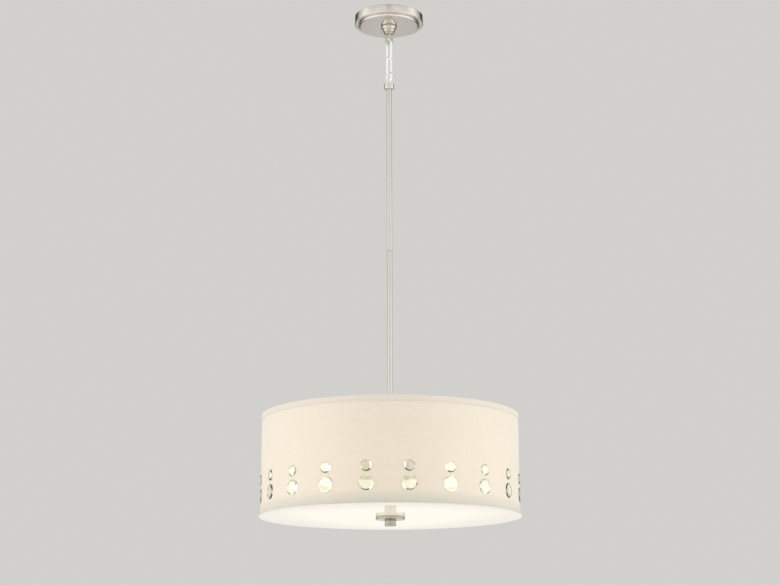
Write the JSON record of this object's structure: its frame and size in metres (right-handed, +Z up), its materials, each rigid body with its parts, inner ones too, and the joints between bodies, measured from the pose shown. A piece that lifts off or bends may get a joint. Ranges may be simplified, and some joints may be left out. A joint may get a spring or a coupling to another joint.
{
  "type": "drum pendant light",
  "caption": "Ceiling pendant light: round canopy, short chain and rod, linen drum shade studded with glass crystals, bulbs on a hub, and a flat diffuser held by a finial.",
  "frame": {"origin": "on the light's upright axis, in the plane of the ceiling that its strap and canopy meet", "axes": "+Z up along the rod and the shade's axis; -Y toward the picture's camera; +X to its right"},
  "size_m": [0.463, 0.463, 0.9735],
  "materials": {
    "zinc_plated_steel": "satin",
    "green_screw": "satin",
    "brass": "satin",
    "brushed_nickel": "brushed",
    "linen": "matt weave",
    "white_styrene": "matt",
    "clear_glass": "polished",
    "white_ceramic": "glazed",
    "clear_gold_insulation": "glossy",
    "frosted_glass": "frosted",
    "white_acrylic": "glossy"
  },
  "bodies": {
    "ceiling_fixing": {"ceiling_crossbar": "zinc_plated_steel", "box_screw_1": "zinc_plated_steel", "box_screw_2": "zinc_plated_steel", "ground_screw": "green_screw", "threaded_nipple": "brass", "nipple_nut": "zinc_plated_steel", "canopy_loop": "brushed_nickel"},
    "canopy": {"canopy": "brushed_nickel"},
    "ring_nut": {"canopy_ring_nut": "brushed_nickel"},
    "link_1": {"chain_link_1": "brushed_nickel"},
    "link_2": {"chain_link_2": "brushed_nickel"},
    "stem": {"stem_loop": "brushed_nickel", "stem_collar": "brushed_nickel", "rod_upper": "brushed_nickel", "rod_joiner": "brass", "rod_lower": "brushed_nickel", "rod_coupling": "brushed_nickel", "shade_spider": "zinc_plated_steel", "shade_fabric": "linen", "shade_liner": "white_styrene", "shade_top_hem": "linen", "shade_bottom_hem": "linen", "shade_bottom_ring": "zinc_plated_steel", "crystals_large": "clear_glass", "crystals_small": "clear_glass", "shade_lock_nut": "zinc_plated_steel", "cluster_nipple": "brass", "spacer_tube": "brushed_nickel", "cluster_hub": "brushed_nickel", "hub_top_nut": "zinc_plated_steel", "hub_cover": "brushed_nickel", "centre_rod": "zinc_plated_steel", "centre_rod_nut": "zinc_plated_steel", "supply_lead": "clear_gold_insulation", "splice_block": "white_ceramic", "socket_lead_1": "clear_gold_insulation", "socket_lead_2": "clear_gold_insulation", "socket_lead_3": "clear_gold_insulation", "socket_shell_1": "white_ceramic", "socket_shell_2": "white_ceramic", "socket_shell_3": "white_ceramic", "socket_liner_1": "brass", "socket_liner_2": "brass", "socket_liner_3": "brass", "socket_bush_1": "brass", "socket_bush_2": "brass", "socket_bush_3": "brass", "socket_contact_1": "brass", "socket_contact_2": "brass", "socket_contact_3": "brass"},
    "bulb_1": {"bulb_base_1": "zinc_plated_steel", "bulb_glass_1": "frosted_glass"},
    "bulb_2": {"bulb_base_2": "zinc_plated_steel", "bulb_glass_2": "frosted_glass"},
    "bulb_3": {"bulb_base_3": "zinc_plated_steel", "bulb_glass_3": "frosted_glass"},
    "diffuser": {"diffuser": "white_acrylic", "finial_disc": "brushed_nickel"},
    "finial": {"finial_knob": "brushed_nickel"}
  },
  "joints": [
    {"name": "ring_nut_turn", "type": "hinge", "parent": "canopy", "child": "ring_nut", "pos_m": [0, 0, -0.0297], "axis": [0, 0, -1], "range_deg": [0, 2880]},
    {"name": "canopy_slide", "type": "slide", "parent": "ceiling_fixing", "child": "canopy", "axis": [0, 0, -1], "range_m": [0, 0.008]},
    {"name": "link_1_swing", "type": "hinge", "parent": "ceiling_fixing", "child": "link_1", "pos_m": [0, 0, -0.0527], "axis": [0.8192, 0.5736, 0], "range_deg": [-30, 30]},
    {"name": "link_2_swing", "type": "hinge", "parent": "link_1", "child": "link_2", "pos_m": [0, 0, -0.084], "axis": [-0.5736, 0.8192, 0], "range_deg": [-30, 30]},
    {"name": "stem_swing", "type": "hinge", "parent": "link_2", "child": "stem", "pos_m": [0, 0, -0.1154], "axis": [0.5736, 0.8192, 0], "range_deg": [-30, 30]},
    {"name": "bulb_1_turn", "type": "hinge", "parent": "stem", "child": "bulb_1", "pos_m": [0, 0.042, -0.868], "axis": [0, 1, 0], "range_deg": [0, 1440]},
    {"name": "bulb_2_turn", "type": "hinge", "parent": "stem", "child": "bulb_2", "pos_m": [-0.03637, -0.021, -0.868], "axis": [-0.866, -0.5, 0], "range_deg": [0, 1440]},
    {"name": "bulb_3_turn", "type": "hinge", "parent": "stem", "child": "bulb_3", "pos_m": [0.03637, -0.021, -0.868], "axis": [0.866, -0.5, 0], "range_deg": [0, 1440]},
    {"name": "finial_turn", "type": "hinge", "parent": "diffuser", "child": "finial", "pos_m": [0, 0, -0.9503], "axis": [0, 0, -1], "range_deg": [0, 2700]},
    {"name": "diffuser_drop", "type": "slide", "parent": "stem", "child": "diffuser", "axis": [0, 0, -1], "range_m": [0, 0.0075]}
  ],
  "couplings": [
    {"joint": "ring_nut_turn", "follows": "canopy_slide", "rad_per_m": 6283.2},
    {"joint": "finial_turn", "follows": "diffuser_drop", "rad_per_m": 6283.2}
  ]
}
